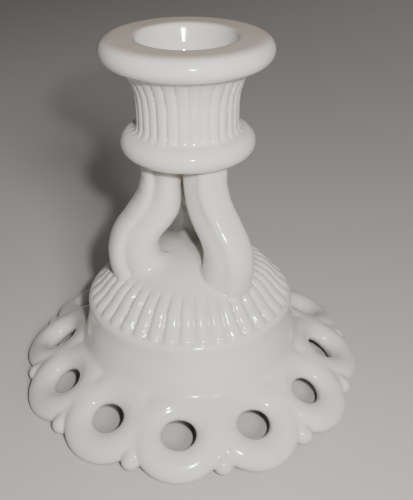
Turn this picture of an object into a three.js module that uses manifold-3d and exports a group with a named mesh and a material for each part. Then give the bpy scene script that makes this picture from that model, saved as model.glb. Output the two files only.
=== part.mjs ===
// Pressed milk-glass candlestick with a lace-edged foot.
// Millimetres, +Z up. The origin is the centre of the foot, on the surface it rests on.
// Azimuths run from -Y towards +X, so azimuth 0 is the front.

import * as THREE from 'three';
import { mergeVertices } from 'three/addons/utils/BufferGeometryUtils.js';
import Module from 'manifold-3d';

// ---------- driving dimensions ----------

const gap = 0.3; // between neighbouring sections

// candle cup
const height = 112.8;
const mouthRadius = 15; // inner edge of the lip's flat top
const funnelDepth = 5.4; // the mouth narrows over this depth to the socket
const lipRadius = 24.5;
const lipRounding = 3.6; // half the lip's width
const lipThickness = 7;
const waistRadius = 14.9;
const waistHeight = 91;
const collarRadius = 19.75;
const collarHeight = 82.7;
const collarRounding = 3.5; // half the collar's thickness
const cupUndersideHeight = 78.6;
const socketRadius = 11.2; // takes a 22 mm taper candle
const socketFloor = 85;
const cupFlutes = 30;
const cupFluteDepth = 0.7;

// stem
const armCount = 3;
const firstArmAzimuth = 45;
const armOffset = 8.5; // from the axis, just under the cup
const armBulge = 17.2; // from the axis, where the arm stands furthest out
const armHalfDepth = [5.9, 8]; // towards the axis, at the top and at the foot
const armHalfWidth = [6, 6.6]; // across, at the top and at the foot
const neckHeight = 66; // above it the arms run together

// bell-shaped base
const domeRadius = 32.8;
const shoulderHeight = 30.7;
const domeRise = 15;
const domeRoundness = 2.7;
const footRadius = 35.5;
const wallBottom = 9.2;
const wallThickness = 4.2;
const footSeam = 15.7; // the bell stands above it, the lace rim and its foot ring below
const baseFlutes = 39;
const baseFluteDepth = 0.7;
const flutesStart = 20;
const flutesEnd = 31.3;

// lace rim
const loopCount = 12;
const holeRingRadius = 43.5;
const holeHeight = 8;
const holeRadius = 5;
const rimSlope = THREE.MathUtils.degToRad(28);
const loopWidth = 9;
const loopThickness = 7.4;
const loopRadius = holeRadius + loopWidth / 2;
const dartRadius = 49.6;
const webThickness = 5;

// ---------- solids ----------

const wasm = await Module();
wasm.setup();

function solidOf(geometry) {
  const bare = geometry.clone();
  bare.deleteAttribute('normal');
  bare.deleteAttribute('uv');
  const merged = mergeVertices(bare, 1e-4);
  return new wasm.Manifold(new wasm.Mesh({
    numProp: 3,
    vertProperties: new Float32Array(merged.attributes.position.array),
    triVerts: new Uint32Array(merged.index.array),
  }));
}

function geometryOf(solid) {
  const mesh = solid.getMesh();
  const geometry = new THREE.BufferGeometry();
  geometry.setAttribute('position', new THREE.BufferAttribute(mesh.vertProperties, 3));
  geometry.setIndex(new THREE.BufferAttribute(mesh.triVerts, 1));
  geometry.computeVertexNormals();
  return geometry;
}

// A turned solid about +Z from [radius, height] points that run from the bottom to the top.
function turned(profile, segments) {
  const points = profile.map(([radius, z]) => new THREE.Vector2(radius, z));
  return new THREE.LatheGeometry(points, segments).rotateX(Math.PI / 2);
}

// Sinks every second meridian of a turned solid by grooveDepth(radius, z).
function fluted(geometry, segments, grooveDepth) {
  const position = geometry.attributes.position;
  const point = new THREE.Vector3();
  const step = 2 * Math.PI / segments;
  for (let i = 0; i < position.count; i += 1) {
    point.fromBufferAttribute(position, i);
    const meridian = Math.round(Math.atan2(point.x, -point.y) / step);
    const radius = Math.hypot(point.x, point.y);
    const sink = grooveDepth(radius, point.z);
    if (Math.abs(meridian) % 2 === 1 && radius > 1) {
      const shrink = (radius - sink.radial) / radius;
      position.setXYZ(i, point.x * shrink, point.y * shrink, point.z - sink.down);
    }
  }
  return geometry;
}

// Places a geometry that was modelled on the front meridian at another azimuth.
function atAzimuth(geometry, degrees) {
  return geometry.rotateZ(THREE.MathUtils.degToRad(degrees));
}

function arc(centre, radii, fromDegrees, toDegrees, count) {
  return Array.from({ length: count + 1 }, (_, i) => {
    const angle = THREE.MathUtils.degToRad(THREE.MathUtils.lerp(fromDegrees, toDegrees, i / count));
    return [centre[0] + radii[0] * Math.cos(angle), centre[1] + radii[1] * Math.sin(angle)];
  });
}

// ---------- candle cup ----------

function cupGeometry() {
  const collarCentre = [collarRadius - collarRounding, collarHeight];
  const lipCentre = [lipRadius - lipRounding, height - lipThickness / 2];
  const waist = new THREE.CatmullRomCurve3([
    new THREE.Vector3(waistRadius + 0.7, collarHeight + 3.8, 0),
    new THREE.Vector3(waistRadius, waistHeight, 0),
    new THREE.Vector3(waistRadius + 0.5, waistHeight + 7, 0),
    new THREE.Vector3(waistRadius + 2.9, waistHeight + 12.6, 0),
    new THREE.Vector3(waistRadius + 4.5, height - lipThickness - 0.4, 0),
  ]).getPoints(10).map((point) => [point.x, point.y]);
  const profile = [
    [0, cupUndersideHeight],
    [13.2, cupUndersideHeight],
    ...arc(collarCentre, [collarRounding, collarRounding], -75, 80, 7),
    ...waist,
    ...arc(lipCentre, [lipRounding, lipThickness / 2], -85, 90, 7),
    [mouthRadius, height],
    [mouthRadius - 0.9, height - 0.3],
    [mouthRadius - 1.5, height - 1.1],
    [socketRadius + 0.2, height - funnelDepth],
    [socketRadius, height - funnelDepth - 1.5],
    [socketRadius, socketFloor],
    [0, socketFloor],
  ];
  const segments = 2 * cupFlutes;
  return fluted(turned(profile, segments), segments, (radius, z) => {
    const outside = radius > waistRadius - 0.5;
    const onWaist = outside && z > collarHeight + collarRounding + 0.5 && z < height - lipThickness - 0.6;
    return { radial: onWaist ? cupFluteDepth : 0, down: 0 };
  });
}

// ---------- stem ----------

function domeHeightAt(radius) {
  const fraction = Math.min(radius / domeRadius, 1);
  return shoulderHeight + domeRise * (1 - fraction ** domeRoundness);
}

// One S-curved bar: it leaves the cup upright, swings out and ends inside the dome.
function armBar() {
  const path = new THREE.CatmullRomCurve3([
    new THREE.Vector3(armOffset, 0, cupUndersideHeight - gap),
    new THREE.Vector3(armOffset, 0, 71),
    new THREE.Vector3(armOffset + 1.4, 0, 63.5),
    new THREE.Vector3(armBulge - 2.8, 0, 56.8),
    new THREE.Vector3(armBulge, 0, 49),
    new THREE.Vector3(armBulge - 1.4, 0, 41.5),
  ]);
  const bar = new THREE.CylinderGeometry(1, 1, 1, 14, 14);
  const position = bar.attributes.position;
  const outward = new THREE.Vector3();
  for (let i = 0; i < position.count; i += 1) {
    const along = 0.5 - position.getY(i);
    const centre = path.getPointAt(along);
    const tangent = path.getTangentAt(along);
    outward.set(-tangent.z, 0, tangent.x);
    if (along === 0) {
      outward.set(1, 0, 0); // the top end is level, to meet the cup
    }
    const halfDepth = THREE.MathUtils.lerp(...armHalfDepth, THREE.MathUtils.smoothstep(along, 0.25, 0.85));
    const halfWidth = THREE.MathUtils.lerp(...armHalfWidth, along);
    centre.addScaledVector(outward, position.getX(i) * halfDepth);
    centre.y -= position.getZ(i) * halfWidth;
    position.setXYZ(i, centre.x, centre.y, centre.z);
  }
  return bar.rotateZ(-Math.PI / 2);
}

// The free part of an arm, from under the neck down to the dome.
function armGeometry() {
  const domeClearance = [[0, 20], [domeRadius, 20]];
  for (const radius of [domeRadius, 29, 25, 21, 17, 12, 6, 0]) {
    domeClearance.push([radius, domeHeightAt(radius) + gap + 0.1]);
  }
  const aboveNeck = turned([[0, neckHeight - gap], [40, neckHeight - gap], [40, 90], [0, 90]], 6);
  const arm = solidOf(armBar()).subtract(solidOf(turned(domeClearance, 48)));
  return geometryOf(arm.subtract(solidOf(aboveNeck)));
}

// The short block under the cup where the arms run together.
function neckGeometry() {
  const belowNeck = turned([[0, 20], [40, 20], [40, neckHeight], [0, neckHeight]], 6);
  const coreTop = cupUndersideHeight - gap;
  const core = turned([[0, neckHeight + 1], [3, neckHeight + 1], [6, 72], [6, coreTop], [0, coreTop]], 24);
  let neck = solidOf(core);
  for (let k = 0; k < armCount; k += 1) {
    neck = neck.add(solidOf(atAzimuth(armBar(), firstArmAzimuth + k * 360 / armCount)));
  }
  return geometryOf(neck.subtract(solidOf(belowNeck)));
}

// ---------- bell-shaped base ----------

function baseGeometry() {
  const insideRadius = footRadius - wallThickness;
  const radii = [0, 7, 13, 17, flutesStart, 22.4, 25, 27.6, 29.8, flutesEnd, 32.3];
  const top = radii.map((radius) => [radius, domeHeightAt(radius)]).reverse();
  const ceiling = [29, 26, 22, 16, 8, 0].map((radius) => [
    radius,
    domeHeightAt(radius * domeRadius / 29.6) - wallThickness,
  ]).reverse();
  const profile = [
    ...ceiling,
    [insideRadius - 1.4, shoulderHeight - wallThickness - 2.2],
    [insideRadius, footSeam],
    [footRadius, footSeam],
    [footRadius - 1.4, footSeam + 4.8],
    [domeRadius + 0.2, shoulderHeight - 4.7],
    [domeRadius, shoulderHeight - 0.4],
    ...top,
  ];
  const segments = 2 * baseFlutes;
  return fluted(turned(profile, segments), segments, (radius, z) => {
    const onTop = z > domeHeightAt(radius) - 0.2;
    const inBand = radius > flutesStart + 1 && radius < flutesEnd - 0.5;
    return { radial: 0, down: onTop && inBand ? baseFluteDepth : 0 };
  });
}

// ---------- lace rim ----------

function rimHeightAt(radius) {
  return holeHeight - (radius - holeRingRadius) * Math.tan(rimSlope);
}

// Lays a flat geometry on the sloping rim, at a distance from the axis on the front meridian.
function onRim(geometry, radius) {
  return geometry.rotateX(rimSlope).translate(0, -radius, rimHeightAt(radius));
}

// The lower end of the bell's wall, which the rim grows out of.
function footRing() {
  const insideRadius = footRadius - wallThickness;
  const top = footSeam - gap;
  return turned([
    [insideRadius, wallBottom],
    [footRadius, wallBottom],
    [footRadius, top],
    [insideRadius, top],
    [insideRadius, wallBottom],
  ], 60);
}

function rimGeometry() {
  const webInner = footRadius - 2;
  const webOuter = holeRingRadius + 3.5;
  const half = webThickness / 2 / Math.cos(rimSlope);
  const web = turned([
    [webInner, rimHeightAt(webInner) - half],
    [webOuter, rimHeightAt(webOuter) - half],
    [webOuter, rimHeightAt(webOuter) + half],
    [webInner + 2, rimHeightAt(webInner + 2) + half],
    [webInner, rimHeightAt(webInner)],
    [webInner, rimHeightAt(webInner) - half],
  ], 60);
  let rim = solidOf(web);
  for (let k = 0; k < loopCount; k += 1) {
    const clearance = new THREE.CylinderGeometry(loopRadius, loopRadius, 30, 18).rotateX(Math.PI / 2);
    rim = rim.subtract(solidOf(atAzimuth(onRim(clearance, holeRingRadius), k * 360 / loopCount)));
  }
  for (let k = 0; k < loopCount; k += 1) {
    const azimuth = k * 360 / loopCount;
    const loop = new THREE.TorusGeometry(loopRadius, loopWidth / 2, 8, 18);
    loop.scale(1, 1, loopThickness / loopWidth);
    const dart = new THREE.SphereGeometry(1, 8, 6).scale(2.4, 4.2, 2.8);
    rim = rim.add(solidOf(atAzimuth(onRim(loop, holeRingRadius), azimuth)));
    rim = rim.add(solidOf(atAzimuth(onRim(dart, dartRadius), azimuth + 180 / loopCount)));
  }
  const inside = turned([[0, -1], [footRadius - 1, -1], [footRadius - 1, 30], [0, 30]], 60);
  rim = rim.subtract(solidOf(inside)).add(solidOf(footRing()));
  const bellClearance = turned([
    [0, footSeam - gap],
    [footRadius + gap, footSeam - gap],
    [footRadius + gap, 30],
    [0, 30],
  ], 60);
  rim = rim.subtract(solidOf(bellClearance));
  const table = new THREE.BoxGeometry(200, 200, 20).translate(0, 0, -10);
  return geometryOf(rim.subtract(solidOf(table)));
}

// ---------- assembly ----------

const milkGlass = { color: 0xdedbd3, roughness: 0.12, metalness: 0 };
const candlestick = new THREE.Group();

function addSection(name, geometry) {
  const section = new THREE.Mesh(geometry, new THREE.MeshStandardMaterial(milkGlass));
  section.name = name;
  candlestick.add(section);
  return section;
}

addSection('candle_cup', cupGeometry());
addSection('stem_neck', neckGeometry());
for (let k = 0; k < armCount; k += 1) {
  const arm = addSection(`stem_arm_${k + 1}`, armGeometry());
  arm.rotation.z = THREE.MathUtils.degToRad(firstArmAzimuth + k * 360 / armCount);
}
addSection('bell_base', baseGeometry());
addSection('lace_rim', rimGeometry());

export default candlestick;
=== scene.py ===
"""Looks of a pressed milk-glass candlestick with a lace-edged foot.

The glass is one smooth body, so its shape is written as a signed distance field in the part's frame, meshed
once and then cut into the sections of the frame, which therefore meet without a visible seam.
Lengths in the field are millimetres. Azimuths run from -Y towards +X, so azimuth 0 is the front.
"""

import math

import bmesh
import bpy
import numpy as np
from mathutils import Matrix, Vector


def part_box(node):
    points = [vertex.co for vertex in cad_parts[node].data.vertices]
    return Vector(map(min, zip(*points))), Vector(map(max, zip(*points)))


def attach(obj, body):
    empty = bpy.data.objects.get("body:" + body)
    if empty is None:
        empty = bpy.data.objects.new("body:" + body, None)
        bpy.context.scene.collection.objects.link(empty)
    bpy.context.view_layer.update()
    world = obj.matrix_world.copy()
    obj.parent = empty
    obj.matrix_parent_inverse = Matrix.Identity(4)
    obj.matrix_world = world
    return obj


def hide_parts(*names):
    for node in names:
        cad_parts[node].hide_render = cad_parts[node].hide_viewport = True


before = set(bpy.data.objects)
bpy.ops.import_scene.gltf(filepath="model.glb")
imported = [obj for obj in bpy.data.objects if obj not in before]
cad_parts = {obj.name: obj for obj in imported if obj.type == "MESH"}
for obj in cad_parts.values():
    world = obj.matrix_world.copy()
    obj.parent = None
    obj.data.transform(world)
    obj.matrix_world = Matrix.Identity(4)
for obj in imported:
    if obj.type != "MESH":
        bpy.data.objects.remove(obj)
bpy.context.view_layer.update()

MM = 0.001
FAR = 30.0  # stands for "nowhere near this part of the glass"


# ---------- sizes, from the frame ----------

def node_box(name):
    low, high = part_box(name)
    return np.array(low) / MM, np.array(high) / MM


cup_low, cup_high = node_box("candle_cup")
neck_low, _ = node_box("stem_neck")
bell_low, bell_high = node_box("bell_base")
rim_low, rim_high = node_box("lace_rim")

HEIGHT = cup_high[2]
CUP_BOTTOM = cup_low[2]
NECK_BOTTOM = neck_low[2]
DOME_TOP = bell_high[2]
FEET_TOP = DOME_TOP + 3  # the arms end here and their feet belong to the bell
FOOT_SEAM = bell_low[2]  # between the bell and the lace rim
FOOT_RADIUS = bell_high[0]


# ---------- sizes of the details ----------

LIP_RADIUS = 24.5
LIP_HALF_WIDTH = 3.6
LIP_HALF_THICKNESS = 3.5
COLLAR_HEIGHT = 82.7
COLLAR_HALF_WIDTH = 3.45
COLLAR_HALF_THICKNESS = 3.5
COLLAR_RADIUS = 19.75
MOUTH_RADIUS = 15.0
SOCKET_RADIUS = 11.2
SOCKET_FLOOR = 85.0
CUP_FLUTES = 30
CUP_FLUTE_DEPTH = 0.45

SHOULDER_RADIUS = 32.8
SHOULDER_HEIGHT = 30.7
WALL_BOTTOM = 9.2  # the wall runs on inside the rim, below the seam
BELL_WALL = 4.2
BELL_RIBS = 39
RIB_HEIGHT = 0.95
RIB_GROUND = 0.4  # how far the ground between the ribs lies below the band
RIB_TIPS = 32.0
RIB_SOFTNESS = 0.08  # rounds the bottom of the groove between two ribs
RIB_OFFSET = 0.8  # in rib pitches, from the first arm

ARM_COUNT = 3
FIRST_ARM = math.radians(47)
ARM_PITCH = 2 * math.pi / ARM_COUNT
STEM_TWIST = math.radians(-5)  # of the arms' upper ends
CORE_TIP = NECK_BOTTOM + 0.8  # the neck is solid above it; below it the arms stand free

LOOP_COUNT = 12
LOOP_PITCH = 2 * math.pi / LOOP_COUNT
LOOP_HALF_WIDTH = 4.5
HOLE_RING_RADIUS = 43.5
HOLE_HEIGHT = 8.0
HOLE_RADIUS = 5.1
HOLE_SQUEEZE = 0.6  # the holes are a little short in the outward direction
RIM_SLOPE = math.radians(28)
WEB_HALF_THICKNESS = 2.2
WEB_INNER_RADIUS = 33.5
DART_RADIUS = 2.9


# ---------- curves and blends ----------

def smoothstep(low, high, value):
    t = np.clip((value - low) / (high - low), 0, 1)
    return t * t * (3 - 2 * t)


def mix(a, b, share):
    return a + (b - a) * share


def blend(a, b, radius):
    """Union of two distances with a fillet between them."""
    share = np.clip(0.5 + 0.5 * (b - a) / radius, 0, 1)
    return mix(b, a, share) - radius * share * (1 - share)


def ellipse(x, y, half_x, half_y):
    """Near distance to an ellipse."""
    scaled = np.hypot(x / half_x, y / half_y)
    steep = np.hypot(x / half_x**2, y / half_y**2)
    return scaled * (scaled - 1) / np.maximum(steep, 1e-6)


def curve(points, per_span=12):
    """Catmull-Rom curve through points, ends included."""
    known = np.array(points, float)
    ends = np.vstack([2 * known[0] - known[1], known, 2 * known[-1] - known[-2]])
    t = np.linspace(0, 1, per_span, endpoint=False)[:, None]
    spans = []
    for before, start, stop, after in zip(ends, ends[1:], ends[2:], ends[3:]):
        spans.append(0.5 * (2 * start + (stop - before) * t
                            + (2 * before - 5 * start + 4 * stop - after) * t**2
                            + (3 * start - before - 3 * stop + after) * t**3))
    return np.vstack(spans + [known[-1:]])


def arc(centre, half_sizes, from_degrees, to_degrees, count=10):
    angles = np.radians(np.linspace(from_degrees, to_degrees, count))
    return np.column_stack([centre[0] + half_sizes[0] * np.cos(angles),
                            centre[1] + half_sizes[1] * np.sin(angles)])


class Lattice:
    """Values on a fine lattice over the half plane (distance from the axis, height)."""

    STEP = 0.16
    MARGIN = 18.0

    def __init__(self, low, high):
        self.low = np.array(low) - self.MARGIN
        counts = np.ceil((np.array(high) + self.MARGIN - self.low) / self.STEP).astype(int)
        self.out = self.low[0] + self.STEP * np.arange(counts[0])[:, None]
        self.up = self.low[1] + self.STEP * np.arange(counts[1])[None, :]

    def read(self, values, out, up):
        i = np.clip((out - self.low[0]) / self.STEP, 0, values.shape[0] - 1.001)
        j = np.clip((up - self.low[1]) / self.STEP, 0, values.shape[1] - 1.001)
        column, row = i.astype(int), j.astype(int)
        i -= column
        j -= row
        left = mix(values[column, row], values[column, row + 1], j)
        right = mix(values[column + 1, row], values[column + 1, row + 1], j)
        return mix(left, right, i)


class Turned(Lattice):
    """Signed distance to a solid of revolution. Its outline runs from the axis round to the axis."""

    def __init__(self, outline, softness):
        outline = np.vstack(outline)
        super().__init__([0, outline[:, 1].min()], outline.max(0))
        loop = np.vstack([outline, outline[::-1] * [-1, 1]])
        nearest = np.full((self.out.size, self.up.size), np.inf)
        inside = np.zeros(nearest.shape, bool)
        for (x0, y0), (x1, y1) in zip(loop, np.roll(loop, -1, 0)):
            dx, dy = x1 - x0, y1 - y0
            length = dx * dx + dy * dy
            if length < 1e-12:
                continue
            t = np.clip(((self.out - x0) * dx + (self.up - y0) * dy) / length, 0, 1)
            gap = (self.out - x0 - t * dx) ** 2 + (self.up - y0 - t * dy) ** 2
            nearest = np.minimum(nearest, gap)
            if y0 != y1:
                crossing = x0 + (self.up - y0) * dx / dy
                inside ^= ((self.up >= min(y0, y1)) & (self.up < max(y0, y1))) & (self.out < crossing)
        signed = np.where(inside, -1, 1) * np.sqrt(nearest)
        self.values = self.soften(signed, softness / self.STEP)

    @staticmethod
    def soften(values, spread):
        reach = int(3 * spread) + 1
        weights = np.exp(-0.5 * (np.arange(-reach, reach + 1) / spread) ** 2)
        weights /= weights.sum()
        for axis in (0, 1):
            pads = [(reach, reach) if a == axis else (0, 0) for a in (0, 1)]
            padded = np.pad(values, pads, mode="edge")
            values = sum(w * np.take(padded, np.arange(k, k + values.shape[axis]), axis)
                         for k, w in enumerate(weights))
        return values

    def distance(self, out, up):
        return self.read(self.values, out, up)


# ---------- cup ----------

def cup_solid():
    collar = arc((COLLAR_RADIUS - COLLAR_HALF_WIDTH, COLLAR_HEIGHT),
                 (COLLAR_HALF_WIDTH, COLLAR_HALF_THICKNESS), -75, 80)
    waist = curve([
        (15.6, 86.5),
        (14.95, 88.3),
        (14.9, 91.0),
        (14.95, 94.5),
        (15.35, 98.0),
        (16.5, 101.3),
        (17.8, 103.6),
        (19.4, 105.4),
    ])
    lip = arc((LIP_RADIUS - LIP_HALF_WIDTH, HEIGHT - LIP_HALF_THICKNESS),
              (LIP_HALF_WIDTH, LIP_HALF_THICKNESS), -85, 90)
    mouth = curve([
        (MOUTH_RADIUS, HEIGHT),
        (14.3, HEIGHT - 0.2),
        (13.85, HEIGHT - 0.8),
        (13.4, HEIGHT - 2.2),
        (12.9, HEIGHT - 3.8),
        (12.4, HEIGHT - 5.4),
        (11.6, HEIGHT - 7.2),
        (SOCKET_RADIUS, HEIGHT - 9.0),
    ])
    return Turned([
        [(0, CUP_BOTTOM + 0.3), (13.2, CUP_BOTTOM + 0.3)],
        collar,
        waist,
        lip,
        mouth,
        [(SOCKET_RADIUS, SOCKET_FLOOR), (0, SOCKET_FLOOR)],
    ], softness=0.35)


def cup_distance(out, azimuth, up):
    """The cup with narrow grooves between the flat ribs of its waist."""
    turns = CUP_FLUTES * azimuth / (2 * math.pi)
    across = 2 * np.abs(turns - np.round(turns))
    outside = out > SOCKET_RADIUS + 1.4
    on_waist = smoothstep(85.8, 87.6, up) * smoothstep(HEIGHT - 6.6, HEIGHT - 7.6, up) * outside
    return CUP.distance(out, up) + CUP_FLUTE_DEPTH * across**2.6 * on_waist


# ---------- bell ----------

def dome_height(out):
    """The dome without its ribs: a flat crown, a steep flank and the shoulder."""
    out_along, up_along = curve([
        (0, DOME_TOP),
        (7.8, DOME_TOP - 0.3),
        (14.0, 44.0),
        (19.5, 41.9),
        (23.2, 39.8),
        (25.4, 37.9),
        (28.5, 34.3),
        (31.0, 32.2),
        (SHOULDER_RADIUS, SHOULDER_HEIGHT),
    ]).T
    return np.interp(out, out_along, up_along)


def bell_solid():
    out = np.linspace(SHOULDER_RADIUS - 0.9, 0, 60)
    top = np.column_stack([out, dome_height(out)])
    inside_radius = SHOULDER_RADIUS - BELL_WALL
    inside = np.linspace(0, inside_radius - 0.3, 40)
    outside = inside * SHOULDER_RADIUS / (inside_radius - 0.1)
    ceiling = np.column_stack([inside, dome_height(outside) - BELL_WALL])
    skirt = curve([
        (FOOT_RADIUS, WALL_BOTTOM + 2.5),
        (FOOT_RADIUS - 0.4, WALL_BOTTOM + 6.3),
        (FOOT_RADIUS - 1.5, WALL_BOTTOM + 11.3),
        (SHOULDER_RADIUS + 0.2, SHOULDER_HEIGHT - 4.7),
        (SHOULDER_RADIUS, SHOULDER_HEIGHT - 0.6),
        (SHOULDER_RADIUS - 0.4, SHOULDER_HEIGHT + 0.25),
    ])
    return Turned([
        ceiling,
        [(FOOT_RADIUS - BELL_WALL, WALL_BOTTOM + 4)],
        [(FOOT_RADIUS - BELL_WALL + 1, WALL_BOTTOM), (FOOT_RADIUS - 0.6, WALL_BOTTOM)],
        skirt,
        top,
    ], softness=0.3)


def bell_distance(out, azimuth, up):
    """The bell with its raised ribs, which end in round tips before a plain band along the shoulder."""
    half_pitch = math.pi * out / BELL_RIBS
    turns = BELL_RIBS * (azimuth - FIRST_ARM) / (2 * math.pi) + RIB_OFFSET
    sideways = 2 * (turns - np.round(turns))
    beyond = np.maximum(out - RIB_TIPS + half_pitch, 0) / half_pitch
    steep = np.maximum(1 - (sideways**2 + beyond**2) ** 1.6, 0)
    lowest, highest = math.sqrt(RIB_SOFTNESS), math.sqrt(1 + RIB_SOFTNESS)
    rib = (np.sqrt(steep**2 + RIB_SOFTNESS) - lowest) / (highest - lowest)
    onset = smoothstep(18.5, 25.0, out)
    on_top = smoothstep(-2.5, -1.0, up - dome_height(out))
    ground = RIB_GROUND * (1 - smoothstep(RIB_TIPS - 1.5, RIB_TIPS, out))
    return BELL.distance(out, up) - (RIB_HEIGHT * rib - ground) * onset * on_top


# ---------- stem ----------

class ArmGuide(Lattice):
    """How far down the arm a point of its upright plane lies, and how far outward of the arm's middle."""

    def __init__(self, middle):
        super().__init__([0, middle[:, 1].min()], middle.max(0))
        nearest = np.full((self.out.size, self.up.size), np.inf)
        self.along = np.zeros(nearest.shape)
        self.outward = np.zeros(nearest.shape)
        count = len(middle) - 1
        for i in range(count):
            (x0, y0), (x1, y1) = middle[i], middle[i + 1]
            dx, dy = x1 - x0, y1 - y0
            length = math.hypot(dx, dy)
            t = ((self.out - x0) * dx + (self.up - y0) * dy) / length**2
            t = np.clip(t, 0, 1)
            gap_x, gap_y = self.out - x0 - t * dx, self.up - y0 - t * dy
            gap = gap_x**2 + gap_y**2
            closer = gap < nearest
            nearest = np.where(closer, gap, nearest)
            side = np.sign(gap_x * -dy + gap_y * dx)
            self.along = np.where(closer, (i + t) / count, self.along)
            self.outward = np.where(closer, side * np.sqrt(gap), self.outward)


ARM_SPANS = 8  # between the points of the arm's middle line, counted from the top


def arm_middle():
    return curve([
        (8.3, 84.0),
        (8.3, 76.0),
        (8.4, 70.5),
        (9.8, 63.3),
        (14.3, 57.3),
        (16.7, 53.2),
        (17.5, 48.8),
        (17.0, 44.0),
        (15.4, 38.5),
    ], per_span=14)


def arm_distance(out, sideways, up):
    """An arm as an outer and an inner lobe, with a groove between them on one side and a plain other side."""
    outward = ARM.read(ARM.outward, out, up)
    down = ARM_SPANS * ARM.read(ARM.along, out, up)
    half_depth = np.interp(down, [0, 2, 3, 4, 5, 6, 7, 8], [5.9, 6.0, 6.9, 6.5, 7.2, 7.9, 8.2, 8.0])
    outer_face = np.interp(down, [0, 2, 4, 5, 6, 7, 8], [3.7, 3.8, 3.7, 3.9, 4.3, 4.8, 4.9])
    groove_at = half_depth - outer_face

    outer_depth = outer_face / 1.5
    outer = ellipse(outward - half_depth + outer_depth, sideways + 0.1, outer_depth, 5.0)
    inner_depth = (groove_at + half_depth) / 1.83
    inner_width = np.interp(down, [0, 3, 6], [6.8, 6.8, 6.2])
    inner = ellipse(outward + half_depth - inner_depth, sideways - 0.6, inner_depth, inner_width)
    crease = mix(4.5, 0.3, smoothstep(-2.5, 2.5, sideways))
    lobes = blend(outer, inner, crease)
    plain_width = np.interp(down, [0, 3, 4, 5, 6, 8], [5.5, 5.5, 6.1, 6.7, 7.1, 7.4])
    plain_side = ellipse(outward + 0.7, sideways + 0.1, half_depth - 0.9, plain_width)
    plain_side += 4 * smoothstep(-2.0, 1.5, sideways)
    return blend(lobes, plain_side, 1.4)


def stem_distance(out, azimuth, up):
    twist = STEM_TWIST * smoothstep(61, 74, up)
    arms = []
    for k in range(ARM_COUNT):
        away = azimuth - twist - FIRST_ARM - k * ARM_PITCH
        arms.append(arm_distance(out * np.cos(away), out * np.sin(away), up))
    first, second, third = arms
    stem = blend(blend(first, second, 1.4), third, 1.4)
    core = 0.85 * (out - 0.62 * (up - CORE_TIP))  # a cone that stands on its tip
    return blend(stem, core, 1.6)


# ---------- lace rim ----------

def wrap(azimuth, count):
    """The azimuth measured from the nearest of count evenly spaced meridians."""
    pitch = 2 * math.pi / count
    return azimuth - pitch * np.round(azimuth / pitch)


def on_slope(out, up):
    """How far down the rim's slope a point lies from the ring of hole centres, and how far above it."""
    outward = out - HOLE_RING_RADIUS
    rise = up - HOLE_HEIGHT
    return (outward * math.cos(RIM_SLOPE) - rise * math.sin(RIM_SLOPE),
            outward * math.sin(RIM_SLOPE) + rise * math.cos(RIM_SLOPE))


def loop_distance(out, away, up):
    """One loop: a ring that is thickest on its outer half."""
    across = out * np.sin(away)
    slope_out, above = on_slope(out * np.cos(away), up)
    from_hole = np.hypot(across, slope_out)
    outer_share = slope_out / np.maximum(from_hole, 0.1)
    squeeze = HOLE_SQUEEZE * outer_share**2
    half_width = LOOP_HALF_WIDTH + squeeze / 2
    half_thickness = mix(2.7, 3.7, smoothstep(-0.6, 0.9, outer_share))
    ring = ellipse(from_hole - HOLE_RADIUS + squeeze - half_width, above, half_width, half_thickness)
    return ring, from_hole


def web_distance(out, up, from_hole):
    """The plate between the loops, thinner on its outer half, with room for the loops' rings."""
    slope_out, above = on_slope(out, up)
    top = mix(WEB_HALF_THICKNESS, 0.7, smoothstep(-4.5, 2.0, slope_out))
    web = np.maximum(np.maximum(above - top, -WEB_HALF_THICKNESS - above), slope_out - 3.0)
    web = np.maximum(web, HOLE_RADIUS + 3.5 - from_hole)
    return np.maximum(web, WEB_INNER_RADIUS - out)


def dart_distance(out, azimuth, up):
    """The bead between two neighbouring loops."""
    slope_out, above = on_slope(out, up)
    across = out * np.sin(wrap(azimuth - LOOP_PITCH / 2, LOOP_COUNT))
    outward = slope_out - 6.9
    past_end = np.maximum(outward - 2.5, 0) + np.maximum(-outward - 3.4, 0)
    return ellipse(np.hypot(across, past_end), above - 0.1, DART_RADIUS, DART_RADIUS)


def rim_distance(out, azimuth, up):
    away = wrap(azimuth, LOOP_COUNT)
    here, from_hole = loop_distance(out, away, up)
    beside, _ = loop_distance(out, away - LOOP_PITCH * np.where(away < 0, -1, 1), up)
    loops = blend(here, beside, 0.9)
    rim = blend(loops, web_distance(out, up, from_hole), 1.1)
    return blend(rim, dart_distance(out, azimuth, up), 0.8)


# ---------- the whole glass ----------

CUP = cup_solid()
BELL = bell_solid()
ARM = ArmGuide(arm_middle())


def only_where(mask, distance, *coordinates):
    """Saves time: the distance where the mask is set, and FAR elsewhere."""
    result = np.full(mask.shape, FAR)
    if mask.any():
        result[mask] = distance(*(c[mask] for c in coordinates))
    return result


def glass_distance(points):
    x, y, up = points.T
    out = np.hypot(x, y)
    azimuth = np.arctan2(x, -y)
    cup = only_where(up > 72, cup_distance, out, azimuth, up)
    stem = only_where((up > 36) & (up < 84) & (out < 34), stem_distance, out, azimuth, up)
    bell = only_where(up < 54, bell_distance, out, azimuth, up)
    rim = only_where((up < 24) & (out > 28), rim_distance, out, azimuth, up)
    stem = np.maximum(stem, dome_height(out) - 1.5 - up)  # the arms end inside the dome
    base = blend(bell, rim, 1.5)
    upper = blend(cup, stem, 1.2)
    past_arm = wrap(azimuth - FIRST_ARM, ARM_COUNT)
    soft_inside = mix(3.2, 0.9, smoothstep(18.5, 22.5, out))
    foot_fillet = mix(1.0, soft_inside, smoothstep(-0.2, 0.1, past_arm))
    return np.maximum(blend(upper, base, foot_fillet), -up)


# ---------- meshing ----------

CORNERS = np.array([(i, j, k) for i in (0, 1) for j in (0, 1) for k in (0, 1)])
EDGES = [(a, b) for a in range(8) for b in range(a + 1, 8) if np.abs(CORNERS[a] - CORNERS[b]).sum() == 1]


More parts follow.
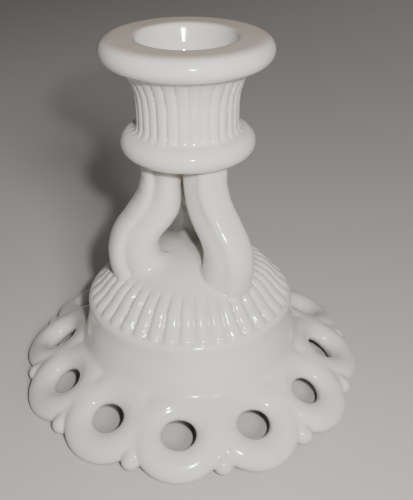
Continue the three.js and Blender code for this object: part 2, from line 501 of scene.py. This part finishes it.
def sample_near_surface(low, counts, cell):
    """The field on a lattice of counts nodes, worked out only in blocks that the surface may cross."""
    block = 8
    starts = [np.arange(0, n, block) for n in counts]
    corner = np.stack(np.meshgrid(*starts, indexing="ij"), -1).reshape(-1, 3)
    middle = glass_distance(low + cell * (corner + block / 2))
    values = (FAR * np.sign(middle)).astype(np.float32).reshape([len(s) for s in starts])
    for axis in range(3):
        values = np.repeat(values, block, axis)
    values = values[:counts[0], :counts[1], :counts[2]].copy()
    reach = 1.6 * cell * block * math.sqrt(3) / 2
    corner = corner[np.abs(middle) < reach]
    steps = np.stack(np.meshgrid(*[np.arange(block + 1)] * 3, indexing="ij"), -1).reshape(-1, 3)
    for part in np.array_split(corner, max(1, len(corner) // 400)):
        nodes = (part[:, None] + steps[None]).reshape(-1, 3)
        nodes = nodes[(nodes < counts).all(1)]
        values[tuple(nodes.T)] = glass_distance(low + cell * nodes)
    return values


def surface_net(low, high, cell):
    """A closed quad mesh of the field's zero surface: one vertex for each cell that it crosses."""
    counts = np.ceil((high - low) / cell).astype(int) + 1
    values = sample_near_surface(low, counts, cell)
    inside = values < 0
    cells = tuple(np.array(counts) - 1)
    tally = np.zeros(cells, np.int8)
    for i, j, k in CORNERS:
        tally += inside[i:i + cells[0], j:j + cells[1], k:k + cells[2]]
    active = np.argwhere((tally > 0) & (tally < 8))
    at_corner = values[tuple((active[:, None] + CORNERS).reshape(-1, 3).T)].reshape(-1, 8)
    total = np.zeros((len(active), 3))
    crossings = np.zeros(len(active))
    for a, b in EDGES:
        crossed = (at_corner[:, a] < 0) != (at_corner[:, b] < 0)
        share = at_corner[:, a] / np.where(crossed, at_corner[:, a] - at_corner[:, b], 1)
        place = CORNERS[a] + share[:, None] * (CORNERS[b] - CORNERS[a])
        total += np.where(crossed[:, None], place, 0)
        crossings += crossed
    vertices = low + cell * (active + total / crossings[:, None])
    number = np.full(cells, -1, np.int32)
    number[tuple(active.T)] = np.arange(len(active))
    quads = []
    for axis in range(3):
        u, v = (axis + 1) % 3, (axis + 2) % 3
        ahead = np.roll(inside, -1, axis)
        changes = inside != ahead
        keep = [slice(1, -1)] * 3
        edges = np.argwhere(changes[tuple(keep)]) + 1
        outward = inside[tuple(edges.T)]
        ring = []
        for du, dv in ((0, 0), (-1, 0), (-1, -1), (0, -1)):
            neighbour = edges.copy()
            neighbour[:, u] += du
            neighbour[:, v] += dv
            ring.append(number[tuple(neighbour.T)])
        ring = np.column_stack(ring)
        quads.append(np.where(outward[:, None], ring, ring[:, ::-1]))
    return vertices, np.vstack(quads)


def gradient(points, step=0.12):
    slopes = []
    for axis in range(3):
        shift = np.zeros(3)
        shift[axis] = step
        slopes.append(glass_distance(points + shift) - glass_distance(points - shift))
    return np.column_stack(slopes) / (2 * step)


def settle(vertices, cell, rounds):
    """Moves vertices onto the field's zero surface."""
    for _ in range(rounds):
        slope = gradient(vertices)
        steepness = np.maximum((slope**2).sum(1, keepdims=True), 0.05)
        move = glass_distance(vertices)[:, None] * slope / steepness
        length = np.linalg.norm(move, axis=1, keepdims=True)
        vertices = vertices - move * np.minimum(1, 0.5 * cell / np.maximum(length, 1e-9))
    return vertices


def relax(vertices, quads, normals, strength):
    """Evens out the quads without leaving the surface."""
    edges = np.vstack([quads[:, [i, (i + 1) % 4]] for i in range(4)])
    count = np.bincount(edges[:, 0], minlength=len(vertices))[:, None]
    mean = np.column_stack([
        np.bincount(edges[:, 0], vertices[edges[:, 1], axis], len(vertices)) for axis in range(3)
    ]) / np.maximum(count, 1)
    pull = mean - vertices
    pull -= normals * (pull * normals).sum(1, keepdims=True)
    return vertices + strength * pull


def unit(vectors):
    return vectors / np.maximum(np.linalg.norm(vectors, axis=1, keepdims=True), 1e-9)


def mesh_glass():
    """The whole glass as vertices and quads. The lattice starts off the planes where the sections are cut."""
    cell = 0.5
    low = np.array([rim_low[0], rim_low[1], 0.0]) - 2.13
    high = np.array([rim_high[0], rim_high[1], HEIGHT]) + 2.0
    vertices, quads = surface_net(low, high, cell)
    vertices = settle(vertices, cell, 1)
    vertices = relax(vertices, quads, unit(gradient(vertices)), 0.5)
    vertices = settle(vertices, cell, 2)
    return vertices, quads


# ---------- cutting the glass into sections ----------

CAVITY_REACH = 1.3


def cap_cut(bm, height, keep_above):
    """Cuts a mesh level at a height, keeps one side and closes it with flat faces."""
    everything = bm.verts[:] + bm.edges[:] + bm.faces[:]
    away = (0, 0, -1) if keep_above else (0, 0, 1)
    bmesh.ops.bisect_plane(bm, geom=everything, dist=1e-5, plane_co=(0, 0, height), plane_no=away,
                           clear_outer=True)
    rim_edges = [e for e in bm.edges if e.is_boundary and abs(e.verts[0].co.z - height) < 1e-3]
    cap = bmesh.ops.triangle_fill(bm, edges=rim_edges, normal=away, use_beauty=True)
    for item in cap["geom"]:
        if isinstance(item, bmesh.types.BMFace):
            item.smooth = False
            if item.normal.dot(away) < 0:
                item.normal_flip()


def mark_cavities(mesh, points, slopes):
    """Stores how closely the glass faces other glass: 0 in the open, 1 deep in a crease."""
    cavity = mesh.attributes.new("cavity", "FLOAT", "POINT")
    room = glass_distance(points + CAVITY_REACH * slopes) / CAVITY_REACH
    cavity.data.foreach_set("value", np.clip(1 - room, 0, 1))


def field_normals(mesh, slopes):
    """Normals for each face corner: the field's on the glass, the face's own on the flat cuts."""
    at_loop = np.empty(len(mesh.loops), np.int32)
    mesh.loops.foreach_get("vertex_index", at_loop)
    normals = slopes[at_loop]
    for polygon in mesh.polygons:
        if not polygon.use_smooth:
            start = polygon.loop_start
            normals[start:start + polygon.loop_total] = polygon.normal
    return normals


def section(name, glass, low=-math.inf, high=math.inf, chosen=None):
    """The glass between two heights as a closed mesh object, with the normals of the uncut glass."""
    vertices, quads = glass
    up = vertices[quads, 2]
    mine = quads[(up.max(1) > low) & (up.min(1) < high)]
    if chosen is not None:
        mine = mine[chosen(vertices[mine].mean(1))]
    used, compact = np.unique(mine, return_inverse=True)
    mesh = bpy.data.meshes.new(name)
    mesh.from_pydata(vertices[used], [], compact.reshape(mine.shape))
    bm = bmesh.new()
    bm.from_mesh(mesh)
    for face in bm.faces:
        face.smooth = True
    if low > -math.inf:
        cap_cut(bm, low, keep_above=True)
    if high < math.inf:
        cap_cut(bm, high, keep_above=False)
    bm.to_mesh(mesh)
    bm.free()
    points = np.empty((len(mesh.vertices), 3))
    mesh.vertices.foreach_get("co", points.ravel())
    slopes = unit(gradient(points))
    mark_cavities(mesh, points, slopes)
    normals = field_normals(mesh, slopes)
    mesh.transform(Matrix.Scale(MM, 4))
    mesh.normals_split_custom_set(normals)
    piece = bpy.data.objects.new(name, mesh)
    bpy.context.scene.collection.objects.link(piece)
    return piece


# ---------- material ----------

DENSE_GLASS = (0.55, 0.53, 0.49)
CLEAN_GLASS = (0.61, 0.595, 0.56)
VEIL = (0.56, 0.515, 0.45)
DUST = (0.46, 0.39, 0.31)
# Painted reflection: the brown that the flat top of the lip shows at a grazing view is painted into its
# colour.
LIP_PAINTED_REFLECTION = (0.36, 0.26, 0.18)
SPECK = (0.22, 0.17, 0.12)


def noise(nodes, links, place, scale, detail=2.0, roughness=0.5):
    texture = nodes.new("ShaderNodeTexNoise")
    texture.inputs["Scale"].default_value = scale
    texture.inputs["Detail"].default_value = detail
    texture.inputs["Roughness"].default_value = roughness
    links.new(place, texture.inputs["Vector"])
    return texture.outputs["Fac"]


def ramp(nodes, links, factor, from_range, to_range, smooth=True):
    node = nodes.new("ShaderNodeMapRange")
    node.interpolation_type = "SMOOTHSTEP" if smooth else "LINEAR"
    for socket, value in zip(("From Min", "From Max", "To Min", "To Max"), (*from_range, *to_range)):
        node.inputs[socket].default_value = value
    links.new(factor, node.inputs["Value"])
    return node.outputs["Result"]


def mixed(nodes, links, factor, first, second):
    """A colour mix. Each of the colours is an output socket or a plain colour."""
    node = nodes.new("ShaderNodeMix")
    node.data_type = "RGBA"
    links.new(factor, node.inputs["Factor"])
    colour_sockets = [socket for socket in node.inputs if socket.type == "RGBA"]
    for socket, colour in zip(colour_sockets, (first, second)):
        if isinstance(colour, tuple):
            socket.default_value = (*colour, 1)
        else:
            links.new(colour, socket)
    return next(socket for socket in node.outputs if socket.type == "RGBA")


def maths(nodes, links, operation, first, second):
    node = nodes.new("ShaderNodeMath")
    node.operation = operation
    for socket, value in zip(node.inputs, (first, second)):
        if isinstance(value, (int, float)):
            socket.default_value = value
        else:
            links.new(value, socket)
    return node.outputs[0]


def seams(nodes, links, place):
    """1 on the mould's three faint seams, which lie on the outer meridians of the arms."""
    lines = []
    for k in range(ARM_COUNT):
        turn = FIRST_ARM + k * ARM_PITCH
        across, outward = nodes.new("ShaderNodeVectorMath"), nodes.new("ShaderNodeVectorMath")
        for node, direction in ((across, (math.cos(turn), math.sin(turn), 0)),
                                (outward, (math.sin(turn), -math.cos(turn), 0))):
            node.operation = "DOT_PRODUCT"
            node.inputs[1].default_value = direction
            links.new(place, node.inputs[0])
        aside = maths(nodes, links, "ABSOLUTE", across.outputs["Value"], 0)
        line = ramp(nodes, links, aside, (0.05 * MM, 0.3 * MM), (1, 0))
        this_side = ramp(nodes, links, outward.outputs["Value"], (12 * MM, 14 * MM), (0, 1))
        lines.append(maths(nodes, links, "MULTIPLY", line, this_side))
    return maths(nodes, links, "MAXIMUM", maths(nodes, links, "MAXIMUM", lines[0], lines[1]), lines[2])


def glass_colour(nodes, links, place, dust):
    """Cloudy white with a warm veil, dust in the creases, a painted brown reflection on the lip's flat top
    and a few dark specks.
    """
    clouds = noise(nodes, links, place, 38, detail=3)
    colour = mixed(nodes, links, ramp(nodes, links, clouds, (0.3, 0.7), (0, 1)), DENSE_GLASS, CLEAN_GLASS)
    veil = noise(nodes, links, place, 9, detail=1)
    colour = mixed(nodes, links, ramp(nodes, links, veil, (0.5, 0.75), (0, 0.35)), colour, VEIL)
    colour = mixed(nodes, links, dust, colour, DUST)

    axes = nodes.new("ShaderNodeSeparateXYZ")
    links.new(place, axes.inputs[0])
    # Painted reflection: the top millimetre of the lip is tinted brown, in patches that follow the clouds.
    on_lip = ramp(nodes, links, axes.outputs["Z"], ((HEIGHT - 1.0) * MM, HEIGHT * MM), (0, 0.55))
    lip_reflection_paint = maths(nodes, links, "MULTIPLY", on_lip, ramp(nodes, links, clouds, (0.25, 0.6), (0.6, 1)))
    colour = mixed(nodes, links, lip_reflection_paint, colour, LIP_PAINTED_REFLECTION)

    cells = nodes.new("ShaderNodeTexVoronoi")
    cells.inputs["Scale"].default_value = 110
    cells.inputs["Randomness"].default_value = 1
    links.new(place, cells.inputs["Vector"])
    chosen = nodes.new("ShaderNodeSeparateColor")
    links.new(cells.outputs["Color"], chosen.inputs["Color"])
    specks = maths(nodes, links, "MULTIPLY",
                   ramp(nodes, links, cells.outputs["Distance"], (0.02, 0.045), (1, 0)),
                   ramp(nodes, links, chosen.outputs[0], (0.90, 0.92), (0, 0.75), smooth=False))
    return mixed(nodes, links, specks, colour, SPECK)


def glass_relief(nodes, links, place):
    """The height of the surface in metres: slow waves, a fine grain and the mould's seams."""
    waves = maths(nodes, links, "MULTIPLY", noise(nodes, links, place, 110, detail=1), 0.09 * MM)
    grain = maths(nodes, links, "MULTIPLY", noise(nodes, links, place, 520, detail=2), 0.012 * MM)
    ridge = maths(nodes, links, "MULTIPLY", seams(nodes, links, place), 0.05 * MM)
    return maths(nodes, links, "ADD", maths(nodes, links, "ADD", waves, grain), ridge)


def milk_glass():
    """Opaque white pressed glass: glossy, a little cloudy, with specks and old dust in its creases."""
    material = bpy.data.materials.new("milk_glass")
    material.use_nodes = True
    nodes, links = material.node_tree.nodes, material.node_tree.links
    shader = nodes["Principled BSDF"]
    shader.inputs["IOR"].default_value = 1.52
    shader.inputs["Specular IOR Level"].default_value = 0.55
    place = nodes.new("ShaderNodeTexCoord").outputs["Object"]

    cavity = nodes.new("ShaderNodeAttribute")
    cavity.attribute_name = "cavity"
    patches = noise(nodes, links, place, 160, detail=4, roughness=0.65)
    dust = maths(nodes, links, "MULTIPLY",
                 ramp(nodes, links, cavity.outputs["Fac"], (0.2, 0.9), (0, 0.4)),
                 ramp(nodes, links, patches, (0.3, 0.65), (0.25, 1)))
    links.new(glass_colour(nodes, links, place, dust), shader.inputs["Base Color"])

    smears = noise(nodes, links, place, 70, detail=5, roughness=0.6)
    rough = maths(nodes, links, "ADD", ramp(nodes, links, smears, (0.35, 0.75), (0.07, 0.19)),
                  maths(nodes, links, "MULTIPLY", dust, 0.3))
    links.new(rough, shader.inputs["Roughness"])

    bump = nodes.new("ShaderNodeBump")
    bump.inputs["Strength"].default_value = 1
    bump.inputs["Distance"].default_value = 1
    links.new(glass_relief(nodes, links, place), bump.inputs["Height"])
    links.new(bump.outputs["Normal"], shader.inputs["Normal"])
    return material


# ---------- stage ----------

CAMERA_PLACE = Vector((18.59, -203.50, 165.2)) * MM
CAMERA_LENS = 53.85
CAMERA_HEADING = math.radians(-3.724)
CAMERA_PITCH = math.radians(30.44)
CAMERA_ROLL = math.radians(0.124)
STAGE_MIDDLE = (0, 0, 0.05)


def make_camera():
    data = bpy.data.cameras.new("camera")
    data.lens = CAMERA_LENS
    camera = bpy.data.objects.new("camera", data)
    bpy.context.scene.collection.objects.link(camera)
    bpy.context.scene.camera = camera
    turn = Matrix.Rotation(-CAMERA_HEADING, 4, "Z")
    turn = turn @ Matrix.Rotation(math.pi / 2 - CAMERA_PITCH, 4, "X")
    turn = turn @ Matrix.Rotation(-CAMERA_ROLL, 4, "Z")
    camera.matrix_world = Matrix.Translation(CAMERA_PLACE) @ turn


def area_light(name, place, size, power, color=(1, 1, 1)):
    data = bpy.data.lights.new(name, "AREA")
    data.size = size
    data.energy = power
    data.color = color
    light = bpy.data.objects.new(name, data)
    light.location = place
    light.rotation_euler = (Vector(STAGE_MIDDLE) - Vector(place)).to_track_quat("-Z", "Y").to_euler()
    bpy.context.scene.collection.objects.link(light)
    return light


def make_floor():
    bpy.ops.mesh.primitive_plane_add(size=4)
    floor = bpy.context.object
    floor.name = "floor"
    material = bpy.data.materials.new("floor")
    material.use_nodes = True
    shader = material.node_tree.nodes["Principled BSDF"]
    shader.inputs["Base Color"].default_value = (0.46, 0.445, 0.425, 1)
    shader.inputs["Roughness"].default_value = 0.7
    floor.data.materials.append(material)


def make_lights():
    """Soft lights that the glass does not mirror, and a small flash that makes its highlights."""
    world = bpy.data.worlds.new("world")
    bpy.context.scene.world = world
    world.use_nodes = True
    background = world.node_tree.nodes["Background"]
    background.inputs["Color"].default_value = (0.80, 0.76, 0.71, 1)
    background.inputs["Strength"].default_value = 0.07
    key = area_light("key", (0.24, -0.60, 0.44), 0.16, 4.3, (1.0, 0.99, 0.97))
    side = area_light("side", (-0.60, -0.20, 0.45), 0.45, 0.25, (1.0, 0.98, 0.95))
    back = area_light("back", (0.45, 0.60, 0.55), 0.45, 1.2, (1.0, 0.99, 0.97))
    for soft in (key, side, back):
        soft.visible_glossy = False
    area_light("flash", (0.045, -0.205, 0.19), 0.011, 0.7)


# ---------- assembly ----------

def arm_section(number, glass):
    turn = FIRST_ARM + (number - 1) * ARM_PITCH

    def on_arm(points):
        azimuth = np.arctan2(points[:, 0], -points[:, 1])
        return np.cos(azimuth - turn) > 0.5

    return section(f"stem_arm_{number}_glass", glass, FEET_TOP, NECK_BOTTOM, on_arm)


def main():
    make_camera()
    make_floor()
    make_lights()
    glass = mesh_glass()
    material = milk_glass()
    pieces = [
        (section("candle_cup_glass", glass, low=CUP_BOTTOM), "candle_cup", "milk_glass_cup"),
        (section("stem_neck_glass", glass, NECK_BOTTOM, CUP_BOTTOM), "stem_neck", "milk_glass_stem"),
        (section("bell_base_glass", glass, FOOT_SEAM, FEET_TOP), "bell_base", "milk_glass_base"),
        (section("lace_rim_glass", glass, high=FOOT_SEAM), "lace_rim", "milk_glass_base"),
    ]
    for number in range(1, ARM_COUNT + 1):
        pieces.append((arm_section(number, glass), f"stem_arm_{number}", "milk_glass_stem"))
    for piece, node, slot in pieces:
        piece.data.materials.append(material)
        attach(piece, "root")
        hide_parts(node)


main()
